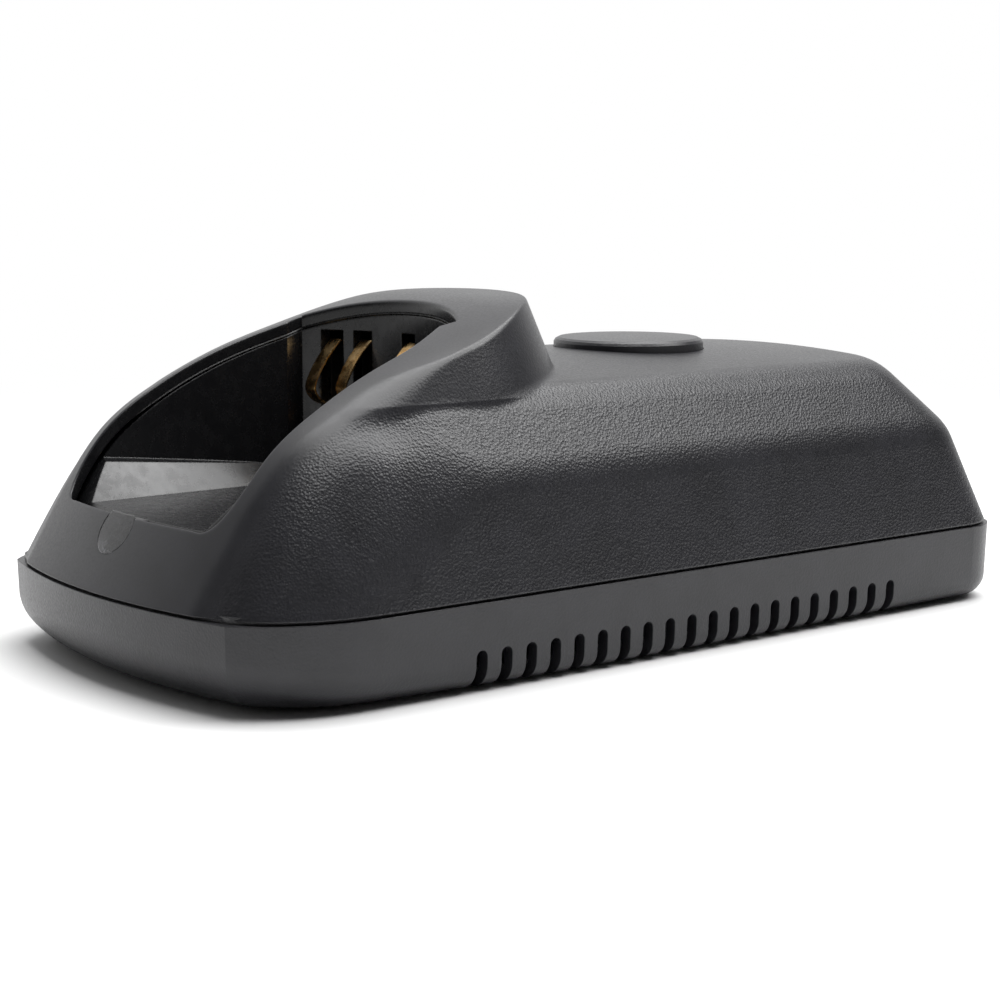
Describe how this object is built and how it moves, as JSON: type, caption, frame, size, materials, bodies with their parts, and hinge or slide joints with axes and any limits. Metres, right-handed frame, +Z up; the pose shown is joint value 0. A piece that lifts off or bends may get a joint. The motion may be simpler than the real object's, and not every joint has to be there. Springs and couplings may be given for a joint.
{
  "type": "desktop radio charger",
  "caption": "Long low charging cradle with an open radio pocket in a raised ring, sprung contacts, a status lens and side cooling slots.",
  "frame": {"origin": "on the table, under the middle of the feet and of the body's length and width", "axes": "+Z up, -Y towards the radio pocket's front lip, +Y towards the power inlet, +X to the right"},
  "size_m": [0.1054, 0.208, 0.0713],
  "materials": {
    "housing_plastic": "fine leather grain",
    "liner_plastic": "gloss",
    "black_plastic": "satin",
    "contact_gold": "polished",
    "contact_brass": "satin",
    "smoked_lens": "clear smoked",
    "lamp_epoxy": "clear",
    "badge_plastic": "satin",
    "circuit_board": "solder mask",
    "wire_insulation": "satin",
    "ferrite": "dull",
    "winding_tape": "tape",
    "capacitor_sleeve": "shrink sleeve",
    "sink_aluminium": "extruded",
    "steel": "zinc plated",
    "foot_rubber": "matt",
    "plate_foil": "matt foil"
  },
  "bodies": {
    "charger": {"upper_housing": "housing_plastic", "base_tub": "housing_plastic", "pocket_liner": "liner_plastic", "contact_block": "black_plastic", "light_guide": "smoked_lens", "status_lamp": "lamp_epoxy", "badge_disc": "badge_plastic", "main_circuit_board": "circuit_board", "contact_circuit_board": "circuit_board", "contact_wires": "wire_insulation", "transformer_core": "ferrite", "transformer_bobbin": "black_plastic", "transformer_winding": "winding_tape", "bulk_capacitor": "capacitor_sleeve", "output_capacitors": "capacitor_sleeve", "line_choke": "ferrite", "heat_sink": "sink_aluminium", "power_transistor": "black_plastic", "line_fuse": "steel", "charge_controller": "black_plastic", "power_inlet": "black_plastic", "inlet_pins": "contact_brass", "inlet_wires": "wire_insulation", "housing_screws": "steel", "board_screws": "steel", "rubber_feet": "foot_rubber", "rating_plate": "plate_foil"},
    "left_contact": {"left_contact_spring": "contact_gold"},
    "middle_contact": {"middle_contact_spring": "contact_gold"},
    "centre_contact": {"centre_contact_spring": "contact_gold"}
  },
  "joints": [
    {"name": "left_contact_press", "type": "hinge", "parent": "charger", "child": "left_contact", "pos_m": [-0.0219, -0.02961, 0.0424], "axis": [-1, 0, 0], "range_deg": [0, 9], "stiffness_Nm_per_rad": 0.06, "springref_deg": -2.86},
    {"name": "middle_contact_press", "type": "hinge", "parent": "charger", "child": "middle_contact", "pos_m": [-0.0152, -0.02633, 0.0424], "axis": [-1, 0, 0], "range_deg": [0, 9], "stiffness_Nm_per_rad": 0.06, "springref_deg": -2.86},
    {"name": "centre_contact_press", "type": "hinge", "parent": "charger", "child": "centre_contact", "pos_m": [-0.0025, -0.02357, 0.0424], "axis": [-1, 0, 0], "range_deg": [0, 9], "stiffness_Nm_per_rad": 0.06, "springref_deg": -2.86}
  ]
}
